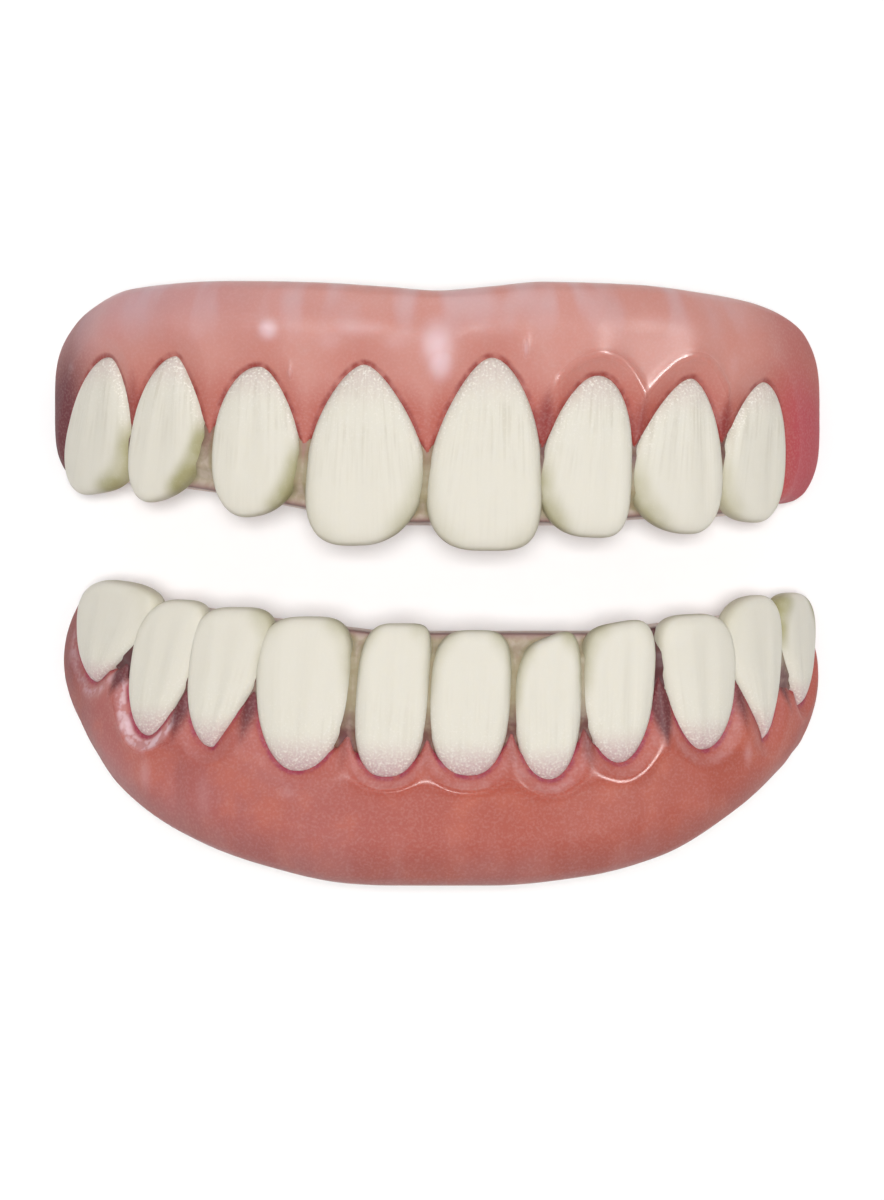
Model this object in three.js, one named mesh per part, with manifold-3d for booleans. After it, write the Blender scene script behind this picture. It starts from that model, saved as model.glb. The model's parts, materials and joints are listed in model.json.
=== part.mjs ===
// False teeth: an upper and a lower plate of cast acrylic, lying on their backs with the teeth facing up.
// Millimetres. X runs across the mouth, Y from the lower plate to the upper one, Z up to the front teeth.
// Each plate is a pink gum, a row of ivory teeth set in it, and a channelled tray that slips over the
// wearer's own teeth.

import * as THREE from 'three';
import { mergeVertices } from 'three/addons/utils/BufferGeometryUtils.js';
import Module from 'manifold-3d';

// Clearances and wall thicknesses
const CLEARANCE = 0.3;
const LEG_HEIGHT = 1.5;
const TRAY_WALL = 1.2;
const CHANNEL_WIDTH = 6.0;
const CHANNEL_DEPTH = 8.0;
const CHANNEL_DEPTH_AT_ENDS = 5.5;
const TRAY_BELOW_RIM = 1.6;
const TRAY_CHAMFER = 0.7;

// Depths measured outwards from the line round the arch on which the teeth have their widest outline
const TOOTH_FACE = 1.0;
const TOOTH_BACK = -1.2;
const GUM_BACK = -1.2;
const GUM_CREST = 0.8;
const GUM_TIP = 0.0;
const GUM_RIM = -0.5;
const GUM_END_EDGE = -0.8;
const ROOT_SWELL = 0.3;
const ROOT_SPREAD = 5;
const TRAY_FACE = GUM_BACK - CLEARANCE;

// Where the gum's face starts to thin, as a share of its height from the tips to the rim
const THIN_TO_TIPS = 0.4;
const THIN_TO_RIM = 0.7;

// How round a tooth is from its middle to its outline: 1 is an ellipsoid, less is boxier
const FACE_ROUND = 0.75;
const BACK_ROUND = 0.3;
const BACK_FLAT = 0.6;
const NARROWING = 1.5;

// How finely each kind of piece is faceted
const TOOTH_SIDES = 20;
const TOOTH_RINGS = 6;
const GUM_COLUMNS = 60;
const GUM_ROWS = 6;
const TRAY_COLUMNS = 44;
const TRAY_FOLDS = 5;

// Angles round the arch, in degrees from the front: where the gum stops, and where its ends start to turn in
const GUM_END_ANGLE = 91.5;
const END_TURN = { from: 48, to: 84 };

// One plate is a half ellipse of teeth, seen along X and Z, with its two ends standing on the surface below.
// sections: angle round the arch, then the heights in Y of the gum's outer rim, of the tips of gum between
// the teeth, and of the tray's biting edge.
// teeth: x, width, edge and neck as seen from the front, lean is how far the neck lies to the right of the
// edge, slope is the rise of the biting edge to the right, taper narrows the neck end, and square and point
// say how boxy the biting end and the neck end are (2 is an ellipse).
const UPPER = {
  name: 'upper',
  gumward: 1,
  middle: 0,
  halfWidth: 29.0,
  depth: 18.5,
  sections: [
    { angle: -95, rim: 19.0, tips: 8.6, web: 7.2 },
    { angle: -80, rim: 20.2, tips: 8.8, web: 7.4 },
    { angle: -69, rim: 21.4, tips: 9.4, web: 7.7 },
    { angle: -56, rim: 22.5, tips: 11.6, web: 7.9 },
    { angle: -38, rim: 22.8, tips: 10.9, web: 7.1 },
    { angle: -21, rim: 22.6, tips: 10.0, web: 5.7 },
    { angle: -8, rim: 22.2, tips: 9.6, web: 4.4 },
    { angle: 0, rim: 21.9, tips: 9.5, web: 4.4 },
    { angle: 8, rim: 22.2, tips: 9.6, web: 4.4 },
    { angle: 17, rim: 22.6, tips: 10.1, web: 4.4 },
    { angle: 32, rim: 22.5, tips: 10.2, web: 4.9 },
    { angle: 47, rim: 22.0, tips: 10.6, web: 5.2 },
    { angle: 57, rim: 21.6, tips: 8.4, web: 5.6 },
    { angle: 67, rim: 21.0, tips: 6.8, web: 6.2 },
    { angle: 80, rim: 20.1, tips: 7.0, web: 6.9 },
    { angle: 95, rim: 19.0, tips: 7.8, web: 7.2 },
  ],
  teeth: [
    { x: -26.0, width: 5.1, edge: 6.9, neck: 17.4, lean: 1.0, slope: 0.10, taper: 0.4, square: 2.4, point: 2.2 },
    { x: -20.4, width: 5.9, edge: 6.3, neck: 17.2, lean: 1.5, slope: 0.22, taper: 0.5, square: 3.0, point: 2.0 },
    { x: -13.6, width: 6.7, edge: 4.9, neck: 16.4, lean: 0.7, slope: 0.12, taper: 0.4, square: 2.5, point: 2.2 },
    { x: -5.5, width: 8.9, edge: 2.8, neck: 16.6, lean: 0.2, slope: 0.03, taper: 0.35, square: 3.6, point: 2.1 },
    { x: 3.8, width: 8.4, edge: 2.4, neck: 16.9, lean: 0.5, slope: 0.0, taper: 0.32, square: 3.4, point: 2.1 },
    { x: 11.6, width: 6.4, edge: 3.4, neck: 15.6, lean: 0.7, slope: -0.08, taper: 0.25, square: 2.8, point: 2.1 },
    { x: 18.2, width: 6.6, edge: 3.8, neck: 15.5, lean: 0.9, slope: -0.22, taper: 0.4, square: 2.8, point: 2.0 },
    { x: 24.1, width: 4.8, edge: 4.6, neck: 15.6, lean: 0.9, slope: -0.05, taper: 0.4, square: 2.8, point: 2.0 },
  ],
};

const LOWER = {
  name: 'lower',
  gumward: -1,
  middle: 0.3,
  halfWidth: 28.6,
  depth: 19.5,
  sections: [
    { angle: -95, rim: -12.0, tips: -2.6, web: -1.2 },
    { angle: -82, rim: -12.2, tips: -2.4, web: -1.2 },
    { angle: -70, rim: -12.9, tips: -3.4, web: -1.2 },
    { angle: -60, rim: -14.8, tips: -6.2, web: -1.3 },
    { angle: -44, rim: -18.7, tips: -8.4, web: -1.6 },
    { angle: -30, rim: -21.1, tips: -8.6, web: -2.4 },
    { angle: -14, rim: -22.5, tips: -11.9, web: -3.3 },
    { angle: -8, rim: -22.6, tips: -12.1, web: -3.6 },
    { angle: 8, rim: -22.6, tips: -11.6, web: -3.6 },
    { angle: 23, rim: -22.0, tips: -11.2, web: -3.6 },
    { angle: 36, rim: -20.7, tips: -7.4, web: -3.0 },
    { angle: 53, rim: -17.4, tips: -7.2, web: -2.3 },
    { angle: 66, rim: -14.7, tips: -7.8, web: -1.2 },
    { angle: 74, rim: -13.5, tips: -4.4, web: -1.0 },
    { angle: 84, rim: -12.7, tips: -2.8, web: -1.0 },
    { angle: 95, rim: -12.0, tips: -2.6, web: -1.0 },
  ],
  teeth: [
    { x: -25.3, width: 5.4, edge: 0.3, neck: -7.6, lean: -1.5, slope: -0.10, taper: 0.45, square: 3.0, point: 2.0 },
    { x: -21.3, width: 4.3, edge: -1.3, neck: -11.5, lean: -2.6, slope: 0.0, taper: 0.25, square: 2.4, point: 2.0 },
    { x: -16.4, width: 5.7, edge: -1.8, neck: -12.4, lean: -2.4, slope: 0.0, taper: 0.4, square: 3.0, point: 2.0 },
    { x: -10.2, width: 7.1, edge: -2.5, neck: -14.1, lean: -0.9, slope: 0.0, taper: 0.25, square: 3.2, point: 2.1 },
    { x: -3.7, width: 5.4, edge: -3.0, neck: -14.4, lean: -0.7, slope: 0.0, taper: 0.1, square: 3.2, point: 2.4 },
    { x: 2.3, width: 5.9, edge: -3.5, neck: -14.4, lean: -0.4, slope: 0.0, taper: 0.15, square: 3.2, point: 2.2 },
    { x: 8.1, width: 4.8, edge: -3.9, neck: -14.7, lean: 0.0, slope: 0.35, taper: 0.1, square: 3.0, point: 2.2 },
    { x: 13.4, width: 5.5, edge: -2.9, neck: -13.5, lean: -0.4, slope: 0.1, taper: 0.25, square: 3.4, point: 2.0 },
    { x: 19.3, width: 5.8, edge: -2.3, neck: -12.6, lean: 0.4, slope: 0.05, taper: 0.3, square: 2.8, point: 2.2 },
    { x: 24.0, width: 3.3, edge: -0.9, neck: -11.9, lean: 0.5, slope: 0.05, taper: 0.25, square: 3.2, point: 2.0 },
    { x: 27.0, width: 2.4, edge: -0.7, neck: -9.4, lean: 0.2, slope: 0.0, taper: 0.3, square: 2.6, point: 2.0 },
  ],
};

// Finishes of the three kinds of acrylic
const GUM_ACRYLIC = new THREE.MeshStandardMaterial({ color: 0xc97f78, roughness: 0.3, metalness: 0 });
const TOOTH_ACRYLIC = new THREE.MeshStandardMaterial({ color: 0xe3e0d0, roughness: 0.25, metalness: 0 });
const TRAY_ACRYLIC = new THREE.MeshStandardMaterial({ color: 0xdcc3b4, roughness: 0.4, metalness: 0 });

const wasm = await Module();
wasm.setup();

const { degToRad, radToDeg, lerp, smoothstep, clamp } = THREE.MathUtils;
const signedPower = (value, power) => Math.sign(value) * Math.abs(value) ** power;

// A point at an angle round the arch, a distance outwards from the teeth's line and a height in Y.
// Past a right angle the arch runs straight down its leg.
function archPoint(plate, degrees, outward, height) {
  const angle = degToRad(degrees);
  const bend = clamp(angle, -Math.PI / 2, Math.PI / 2);
  const legRun = (Math.abs(angle) - Math.abs(bend)) * plate.depth;
  return new THREE.Vector3(
    plate.middle + (plate.halfWidth + outward) * Math.sin(bend),
    height,
    LEG_HEIGHT + (plate.depth + outward) * Math.cos(bend) - legRun,
  );
}

const legEndAngle = (plate) => 90 + radToDeg(LEG_HEIGHT / plate.depth);
const angleSeenAt = (plate, x) => radToDeg(Math.asin(clamp(x / plate.halfWidth, -1, 1)));

// The slope at a row of a table, level where the rows on its two sides turn back, so that no curve overshoots
const sharedSlope = (one, other) => (one * other > 0 ? 2 * one * other / (one + other) : 0);

// The heights of one plate at an angle, read smoothly between the rows of its table
function sectionAt(plate, angle) {
  const rows = plate.sections;
  const last = rows.length - 2;
  const found = rows.findIndex((row) => row.angle > angle) - 1;
  const start = found < 0 ? (angle <= rows[0].angle ? 0 : last) : found;
  const [before, from, to, after] = [-1, 0, 1, 2].map((step) => rows[clamp(start + step, 0, rows.length - 1)]);
  const span = to.angle - from.angle;
  const share = clamp((angle - from.angle) / span, 0, 1);
  const read = (column) => {
    const [rise, riseBefore, riseAfter] = [[from, to], [before, from], [to, after]].map(([low, high]) => (
      low === high ? 0 : (high[column] - low[column]) / (high.angle - low.angle)
    ));
    const slopeFrom = sharedSlope(riseBefore, rise);
    const slopeTo = sharedSlope(rise, riseAfter);
    const cubic = share * share * (3 - 2 * share);
    const easeIn = share * (1 - share) ** 2 * slopeFrom;
    const easeOut = share ** 2 * (share - 1) * slopeTo;
    return lerp(from[column], to[column], cubic) + span * (easeIn + easeOut);
  };
  return { rim: read('rim'), tips: read('tips'), web: read('web') };
}

// Only positions are kept, so that neighbouring facets share their corners and the body is closed
function closedBody(geometry, place) {
  geometry.deleteAttribute('normal');
  geometry.deleteAttribute('uv');
  const position = geometry.getAttribute('position');
  for (let i = 0; i < position.count; i += 1) {
    const point = place(new THREE.Vector3().fromBufferAttribute(position, i));
    position.setXYZ(i, point.x, point.y, point.z);
  }
  return mergeVertices(geometry, 1e-4);
}

function solidOf(geometry) {
  const vertProperties = new Float32Array(geometry.getAttribute('position').array);
  const triVerts = new Uint32Array(geometry.getIndex().array);
  return new wasm.Manifold(new wasm.Mesh({ numProp: 3, vertProperties, triVerts }));
}

function geometryOf(solid) {
  const mesh = solid.getMesh();
  const geometry = new THREE.BufferGeometry();
  geometry.setAttribute('position', new THREE.BufferAttribute(mesh.vertProperties, 3));
  geometry.setIndex(new THREE.BufferAttribute(mesh.triVerts, 1));
  return geometry;
}

// A tooth's outline seen from the front, at a turn round its middle: a boxy biting end and a rounder neck
function toothOutline(plate, tooth, across, along, grow) {
  const power = along < 0 ? 2 / tooth.square : 2 / tooth.point;
  const side = signedPower(across, power);
  const rise = signedPower(along, power);
  const narrowing = 1 - tooth.taper * ((rise + 1) / 2) ** NARROWING;
  const halfLength = Math.abs(tooth.neck - tooth.edge) / 2 + grow;
  const x = tooth.x + side * (tooth.width / 2 * narrowing + grow) + tooth.lean * rise / 2;
  const tilt = tooth.slope * (x - tooth.x) * (1 - rise) / 2;
  return { x, y: (tooth.edge + tooth.neck) / 2 + plate.gumward * rise * halfLength + tilt };
}

// A tooth is a ball drawn out to its outline: a domed face in front and a flatter back towards the tray
function toothGeometry(plate, tooth, grow = 0, back = TOOTH_BACK) {
  const ball = new THREE.SphereGeometry(1, TOOTH_SIDES, TOOTH_RINGS);
  const middle = toothOutline(plate, tooth, 0, 0, grow);
  return closedBody(ball, (point) => {
    const spread = Math.hypot(point.x, point.z);
    const across = spread > 1e-6 ? point.x / spread : 1;
    const along = spread > 1e-6 ? -point.z / spread : 0;
    const isFace = point.y >= 0;
    const reach = spread ** (isFace ? FACE_ROUND : BACK_ROUND);
    const outline = toothOutline(plate, tooth, across, along * plate.gumward, grow);
    const x = lerp(middle.x, outline.x, reach);
    const y = lerp(middle.y, outline.y, reach);
    const outward = isFace ? (TOOTH_FACE + grow) * point.y : -back * signedPower(point.y, BACK_FLAT);
    return archPoint(plate, angleSeenAt(plate, x), outward, y);
  });
}

// How far the gum stands out: swollen over each root, thin at its tips and rim, and rolled in at its two ends
function gumFace(plate, angle, share) {
  const towardTips = Math.max(0, 1 - share / THIN_TO_TIPS) ** 2;
  const towardRim = Math.max(0, (share - THIN_TO_RIM) / (1 - THIN_TO_RIM)) ** 2;
  const front = GUM_CREST + (GUM_TIP - GUM_CREST) * towardTips + (GUM_RIM - GUM_CREST) * towardRim;
  const end = GUM_CREST + (GUM_END_EDGE - GUM_CREST) * (2 * share - 1) ** 2;
  const turn = smoothstep(Math.abs(angle), END_TURN.from, END_TURN.to);
  const roots = plate.teeth.map((tooth) => {
    const offset = (angle - angleSeenAt(plate, tooth.x + tooth.lean / 2)) / ROOT_SPREAD;
    return Math.exp(-offset * offset);
  });
  const swell = ROOT_SWELL * (Math.max(...roots) - 0.5) * Math.sin(Math.PI * share);
  return lerp(front + swell, end, turn);
}

function gumGeometry(plate) {
  const slab = new THREE.BoxGeometry(1, 1, 1, GUM_COLUMNS, GUM_ROWS, 1);
  const body = closedBody(slab, (point) => {
    const angle = point.x * 2 * GUM_END_ANGLE;
    const share = plate.gumward > 0 ? point.y + 0.5 : 0.5 - point.y;
    const { rim, tips } = sectionAt(plate, angle);
    const outward = point.z > 0 ? gumFace(plate, angle, share) : GUM_BACK;
    return archPoint(plate, angle, outward, lerp(tips, rim, share));
  });
  const sockets = plate.teeth.map((tooth) => solidOf(toothGeometry(plate, tooth, CLEARANCE, 2 * GUM_BACK)));
  return geometryOf(sockets.reduce((gum, socket) => gum.subtract(socket), solidOf(body)));
}

// The tray's section, folded from its front rim over the biting edge to its inner rim: each corner has the
// distance outwards and the height gumwards on the outside of the bend, then on the inside
function trayCorners(plate, angle) {
  const { rim, web } = sectionAt(plate, angle);
  const frontWall = Math.abs(rim - web) - TRAY_BELOW_RIM;
  const turn = smoothstep(Math.abs(angle), END_TURN.from, END_TURN.to);
  const innerWall = lerp(CHANNEL_DEPTH, CHANNEL_DEPTH_AT_ENDS, turn) + TRAY_WALL;
  const channelFront = TRAY_FACE - TRAY_WALL;
  const channelBack = channelFront - CHANNEL_WIDTH;
  const trayBack = channelBack - TRAY_WALL;
  const corners = [
    { outside: [TRAY_FACE, frontWall], inside: [channelFront, frontWall] },
    { outside: [TRAY_FACE, TRAY_CHAMFER], inside: [channelFront, TRAY_WALL + TRAY_CHAMFER] },
    { outside: [TRAY_FACE - TRAY_CHAMFER, 0], inside: [channelFront - TRAY_CHAMFER, TRAY_WALL] },
    { outside: [trayBack + TRAY_CHAMFER, 0], inside: [channelBack + TRAY_CHAMFER, TRAY_WALL] },
    { outside: [trayBack, TRAY_CHAMFER], inside: [channelBack, TRAY_WALL + TRAY_CHAMFER] },
    { outside: [trayBack, innerWall], inside: [channelBack, innerWall] },
  ];
  return corners;
}

// The biting edge keeps the height that it has from the front, however far back the fold lies
function webBehind(plate, angle, outward) {
  const x = (plate.halfWidth + outward) * Math.sin(degToRad(clamp(angle, -90, 90)));
  return sectionAt(plate, angleSeenAt(plate, x)).web;
}

function trayGeometry(plate) {
  const strip = new THREE.BoxGeometry(1, 1, 1, TRAY_COLUMNS, TRAY_FOLDS, 1);
  return closedBody(strip, (point) => {
    const angle = point.x * 2 * legEndAngle(plate);
    const share = plate.gumward > 0 ? 0.5 - point.y : 0.5 + point.y;
    const corner = trayCorners(plate, angle)[Math.round(share * TRAY_FOLDS)];
    const [outward, rise] = point.z > 0 ? corner.outside : corner.inside;
    return archPoint(plate, angle, outward, webBehind(plate, angle, outward) + plate.gumward * rise);
  });
}

function namedMesh(name, geometry, material) {
  const mesh = new THREE.Mesh(geometry, material);
  mesh.name = name;
  return mesh;
}

function plateGroup(plate) {
  const group = new THREE.Group();
  group.add(namedMesh(`${plate.name}_gum`, gumGeometry(plate), GUM_ACRYLIC));
  group.add(namedMesh(`${plate.name}_tray`, trayGeometry(plate), TRAY_ACRYLIC));
  plate.teeth.forEach((tooth, index) => {
    group.add(namedMesh(`${plate.name}_tooth_${index + 1}`, toothGeometry(plate, tooth), TOOTH_ACRYLIC));
  });
  return group;
}

// The pair, with the origin on the surface below the middle of its box
const falseTeeth = new THREE.Group();
falseTeeth.add(plateGroup(UPPER), plateGroup(LOWER));
const middle = new THREE.Box3().setFromObject(falseTeeth).getCenter(new THREE.Vector3());
falseTeeth.position.set(-middle.x, -middle.y, 0);

export default falseTeeth;
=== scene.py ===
# %% [markdown]
# # False teeth
# A set of false teeth is two plates of cast acrylic, an upper and a lower one, that lie here on their backs
# with the teeth facing up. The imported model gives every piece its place: we load it first and keep its box,
# because what we model must stay the same size. Everything in Blender is in metres, and a dental workshop
# thinks in millimetres, so the tables below are in millimetres and one factor turns them to metres.

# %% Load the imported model
import json
import math

import bmesh
import bpy
import numpy as np
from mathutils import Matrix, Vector


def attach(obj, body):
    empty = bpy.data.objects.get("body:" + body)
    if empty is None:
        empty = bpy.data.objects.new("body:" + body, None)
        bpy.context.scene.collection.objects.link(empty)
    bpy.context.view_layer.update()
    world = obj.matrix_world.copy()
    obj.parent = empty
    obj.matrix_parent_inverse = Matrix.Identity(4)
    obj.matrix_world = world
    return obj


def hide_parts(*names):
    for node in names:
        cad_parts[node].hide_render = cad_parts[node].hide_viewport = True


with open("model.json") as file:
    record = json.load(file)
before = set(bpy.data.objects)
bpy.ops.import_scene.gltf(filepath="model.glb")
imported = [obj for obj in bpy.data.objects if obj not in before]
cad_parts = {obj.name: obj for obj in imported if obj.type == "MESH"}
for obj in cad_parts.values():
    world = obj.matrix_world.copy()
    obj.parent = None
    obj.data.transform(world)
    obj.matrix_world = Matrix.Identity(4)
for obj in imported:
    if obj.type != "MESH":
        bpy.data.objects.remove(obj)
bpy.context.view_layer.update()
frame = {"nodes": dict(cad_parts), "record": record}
MM = 0.001
print("frame loaded with", len(frame["nodes"]), "nodes")

# %% [markdown]
# ## The two plates as tables
# Each plate follows a half ellipse seen from its biting edges. One table gives the heights of its gum at
# angles round that ellipse, and one gives its teeth as seen from the front. These are the numbers that a
# technician would read from a wax model with a ruler, so a crooked tooth is a row that we can correct alone.
# A tooth has its own width, narrowing and corner on each side of its middle. The margin table says what lies
# round that tooth: how wide and how soft the gum's rolled margin is and how pale it was tinted, partly as
# painted sheen, how stained the tooth's two flanks are, and how deep the painted shade is in the gap on its
# right and how ivory that gap is. The mounds are the few swellings and streaks, and one groove, that the
# technician's thumb left in the gum, and each swelling carries a pale patch of painted highlight. The numbers
# before the tables belong to a whole plate: how far its gum swells over the roots, how rough its satin is,
# how strongly the teeth's necks blush, how square the gum's ends are, and how softly the margins of
# neighbouring teeth weave into one line.

# %% Tables of the upper plate
SECTION_COLUMNS = ("angle", "rim", "tips", "web")
TOOTH_COLUMNS = (
    "x", "edge", "neck", "lean", "slope", "point",
    "left", "left_taper", "left_square", "right", "right_taper", "right_square",
)
MOUND_COLUMNS = ("x", "y", "width", "height", "rise", "polish")
MARGIN_COLUMNS = ("roll", "soft", "pale", "left_stain", "right_stain", "gap_shade", "gap_ivory")

UPPER = {
    "name": "upper", "gumward": 1, "middle": 0.0, "half_width": 29.0, "depth": 18.5,
    "swell": 0.35, "satin": 0.40, "blush": 0.45, "end_square": 4, "weave": 0.15,
    "sections": (
        (-95, 19.0, 8.6, 7.2), (-80, 20.2, 8.8, 7.4), (-69, 21.4, 9.4, 7.7), (-56, 22.5, 11.6, 7.9),
        (-38, 22.8, 11.2, 7.1), (-21, 22.6, 10.0, 5.7), (-8, 22.2, 9.6, 4.4), (0, 21.9, 9.5, 4.4),
        (8, 22.2, 9.6, 4.4), (17, 22.6, 10.1, 4.4), (32, 22.5, 10.2, 4.9), (47, 22.0, 10.6, 5.2),
        (57, 21.6, 8.4, 5.6), (67, 21.0, 6.8, 6.2), (80, 20.1, 7.0, 6.9), (95, 19.0, 7.8, 7.2),
    ),
    "teeth": (
        (-25.8, 6.9, 17.3, 1.9, 0.10, 2.2, 2.4, 0.25, 1.9, 3.5, 0.60, 3.8),
        (-20.4, 6.4, 17.2, 1.7, 0.25, 1.9, 2.5, 0.00, 2.3, 3.9, 0.66, 2.3),
        (-13.6, 5.0, 16.3, 0.7, 0.12, 2.0, 3.2, 0.06, 2.2, 4.0, 0.48, 2.3),
        (-5.5, 2.8, 16.4, 0.2, 0.03, 1.7, 4.5, 0.25, 3.4, 5.2, 0.40, 2.1),
        (3.8, 2.4, 16.9, 0.5, 0.00, 1.9, 5.0, 0.45, 2.8, 4.3, 0.27, 4.2),
        (11.6, 3.4, 15.6, 0.7, -0.05, 2.1, 4.4, 0.42, 2.3, 3.0, 0.08, 4.2),
        (19.0, 3.7, 15.5, 0.0, 0.00, 1.9, 5.3, 0.52, 2.1, 2.5, 0.28, 2.4),
        (24.4, 4.6, 15.4, 0.6, -0.05, 1.9, 3.4, 0.42, 2.7, 1.9, 0.10, 2.3),
    ),
    "margins": (
        (1.5, 0.30, 0.2, 0.15, 0.8, 0.55, 0.9), (2.0, 0.35, 0.0, 0.10, 1.1, 0.20, 0.4),
        (2.6, 0.50, 0.0, 0.15, 0.8, 0.10, 0.3), (3.0, 0.50, 0.0, 0.30, 0.5, 0.15, 0.4),
        (2.3, 0.35, 0.0, 0.30, 0.3, 0.90, 0.6), (1.5, 0.12, 0.0, 0.65, 0.1, 0.60, 0.0),
        (1.6, 0.12, 0.0, 0.60, 0.1, 0.85, 0.5), (1.7, 0.30, 0.0, 0.45, 0.5, 0.70, 0.0),
    ),
    "mounds": (
        (-27.3, 16.6, 0.6, 0.5, 0.10, 0.5), (-17.7, 18.8, 1.2, 1.2, 0.05, 0.0),
        (-12.3, 19.0, 0.8, 0.9, 0.18, 0.0), (-10.8, 15.7, 0.3, 0.7, 0.08, 1.0),
        (-7.9, 18.0, 1.3, 1.1, 0.07, 0.0), (-5.5, 19.0, 2.2, 0.9, 0.08, 0.0),
        (-3.1, 18.0, 1.3, 1.1, 0.07, 0.0), (0.0, 17.8, 1.3, 2.0, 0.17, 0.0),
        (0.2, 16.5, 1.0, 1.5, 0.19, 0.0), (6.5, 17.5, 0.3, 1.0, 0.10, 1.0),
        (15.8, 19.6, 1.8, 1.0, 0.05, 0.0), (22.0, 16.7, 0.8, 1.4, 0.06, 0.0),
    ),
}
print("upper plate:", len(UPPER["teeth"]), "teeth")

# %% Tables of the lower plate
LOWER = {
    "name": "lower", "gumward": -1, "middle": 0.3, "half_width": 28.6, "depth": 19.5,
    "swell": 0.12, "satin": 0.50, "blush": 0.85, "end_square": 2, "weave": 1.0,
    "sections": (
        (-95, -10.8, -1.5, -1.2), (-82, -11.4, -1.6, -1.2), (-70, -13.4, -3.0, -1.2),
        (-60, -15.9, -5.4, -1.3), (-44, -19.1, -8.1, -1.6), (-30, -21.1, -7.9, -2.4),
        (-14, -22.5, -11.6, -3.3), (-8, -22.6, -11.9, -3.6), (8, -22.6, -11.4, -3.6),
        (23, -22.0, -10.9, -3.6), (36, -20.7, -7.0, -3.0), (53, -17.4, -7.2, -2.3),
        (66, -14.7, -7.8, -1.2), (74, -13.5, -4.4, -1.0), (84, -12.7, -2.8, -1.0),
        (95, -12.0, -2.6, -1.0),
    ),
    "teeth": (
        (-25.3, 0.3, -7.6, -1.5, -0.12, 2.0, 2.8, 0.48, 2.6, 4.4, 0.82, 2.6),
        (-20.8, -1.2, -11.6, -2.3, -0.03, 2.0, 2.7, 0.24, 2.6, 2.8, 0.46, 3.4),
        (-16.1, -1.8, -12.4, -1.9, 0.00, 2.0, 3.0, 0.25, 4.0, 3.5, 0.78, 3.2),
        (-10.2, -2.5, -14.1, -0.9, 0.00, 2.2, 3.9, 0.28, 3.4, 3.55, 0.10, 3.4),
        (-3.7, -3.0, -14.5, -0.7, 0.00, 2.5, 2.6, -0.04, 3.2, 2.8, 0.02, 6.0),
        (2.3, -3.5, -14.4, -0.4, 0.00, 2.4, 3.2, 0.02, 3.2, 2.9, 0.06, 3.8),
        (7.9, -4.05, -14.7, 0.1, 0.40, 2.1, 2.5, 0.03, 3.4, 2.5, 0.02, 4.2),
        (13.4, -2.9, -13.5, -0.4, 0.17, 2.0, 3.1, 0.18, 4.5, 2.45, 0.08, 3.6),
        (19.3, -2.3, -12.6, 0.4, 0.05, 2.2, 3.2, 0.45, 4.0, 2.9, 0.22, 2.8),
        (24.0, -0.9, -11.9, 0.3, 0.05, 1.9, 3.5, 1.00, 2.2, 1.7, 0.42, 3.2),
        (27.0, -0.7, -9.4, 0.2, 0.00, 2.0, 2.0, 0.90, 2.6, 1.5, 0.32, 2.7),
    ),
    "margins": (
        (1.2, 0.30, 0.7, 0.15, 0.3, 1.30, 0.6), (1.1, 0.20, 1.0, 0.30, 0.2, 0.80, 0.8),
        (1.3, 0.25, 0.3, 0.15, 0.5, 0.85, 0.8), (1.3, 0.55, 0.3, 0.30, 0.5, 0.40, 0.2),
        (0.9, 0.18, 0.4, 0.40, 0.4, 0.30, 0.2), (1.1, 0.18, 0.35, 0.40, 0.5, 0.35, 0.1),
        (1.1, 0.20, 0.45, 0.50, 0.6, 0.50, 0.5), (1.2, 0.18, 0.35, 0.50, 0.3, 1.50, 0.0),
        (1.3, 0.25, 0.4, 0.15, 0.2, 0.60, 0.8), (1.2, 0.30, 0.3, 0.30, 0.2, 1.00, 0.5),
        # The last lower tooth's flank stain is set high, partly as painted shade on a tooth that turns away
        (1.0, 0.20, 0.2, 0.90, 1.3, 0.50, 1.0),
    ),
    "mounds": (
        (-27.8, -5.6, 0.8, 0.9, 0.09, 0.3), (-23.3, -10.7, 0.6, 0.7, 0.15, 0.6),
        (-21.7, -14.4, 0.8, 1.8, 0.08, 0.0), (-19.6, -15.6, 0.8, 2.6, -0.24, 0.0),
        (-17.3, -16.0, 1.0, 2.8, 0.06, 0.0), (-11.2, -15.6, 1.2, 0.8, 0.06, 0.0),
        (19.5, -16.6, 0.5, 1.8, 0.05, 0.0), (22.6, -12.9, 0.6, 1.3, 0.08, 0.0),
    ),
}
print("lower plate:", len(LOWER["teeth"]), "teeth")

# %% Give the rows their names
for plate in (UPPER, LOWER):
    plate["sections"] = np.array(plate["sections"], float)
    rows = zip(plate["teeth"], plate["margins"])
    plate["teeth"] = [dict(zip(TOOTH_COLUMNS + MARGIN_COLUMNS, tooth + margin)) for tooth, margin in rows]
    plate["mounds"] = [dict(zip(MOUND_COLUMNS, mound)) for mound in plate["mounds"]]

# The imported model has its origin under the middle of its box, so the tables move by what its seat moved
UPPER_SEAT_HEIGHT = 5.6
seat = next(mount for mount in frame["record"]["mounts"] if mount["name"] == "upper_seat")
TABLE_SHIFT = seat["pos_m"][1] / MM - UPPER_SEAT_HEIGHT
print(f"tables move {TABLE_SHIFT:.3f} mm along Y")

# %% [markdown]
# ## Round the arch
# Gum, teeth and tray all follow the same arch, so we describe a point by its angle round the arch, how far it
# stands outwards from the line of the teeth, and its height in Y. We could bend straight pieces with a Curve
# modifier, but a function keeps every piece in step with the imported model. Past a right angle the arch
# runs straight down into the two legs that the plate lies on.

# %% A point round the arch
LEG_HEIGHT = 1.5
FARTHEST_ANGLE, LENGTH_STEPS = 100, 2000


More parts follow.
